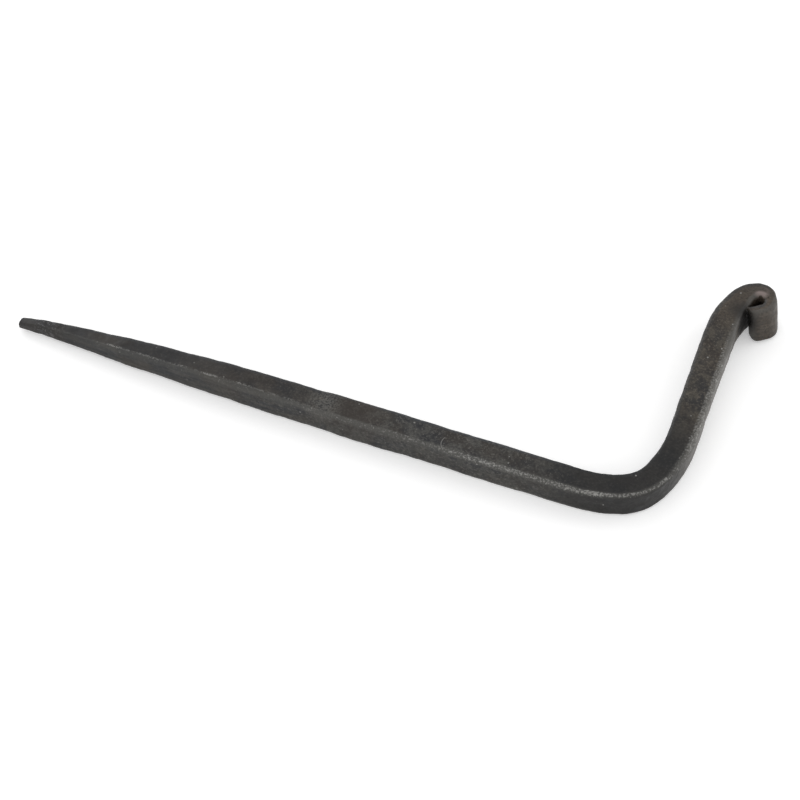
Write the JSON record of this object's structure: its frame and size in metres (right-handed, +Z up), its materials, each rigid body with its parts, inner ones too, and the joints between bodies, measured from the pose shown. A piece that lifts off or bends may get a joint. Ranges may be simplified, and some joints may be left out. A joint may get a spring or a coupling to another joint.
{
  "type": "l hook",
  "caption": "Hand-forged square-bar L hook with a drawn-out drive-in spike, a soft right-angle bend and a flattened, outward-rolled end.",
  "frame": {"origin": "middle of the hook's bounds, on the ground it lies on", "axes": "+X from the spike's tip towards the bend, along the long leg; +Y the way the short arm and its rolled end point; +Z up from the ground, across the bar"},
  "size_m": [0.1494, 0.0658, 0.0098],
  "materials": {
    "forged_steel": "forge-blackened mild steel with a thin satin oil or wax finish, worn grey and speckled on the edges"
  },
  "bodies": {
    "root": {"forged_hook": "forged_steel"}
  },
  "joints": []
}
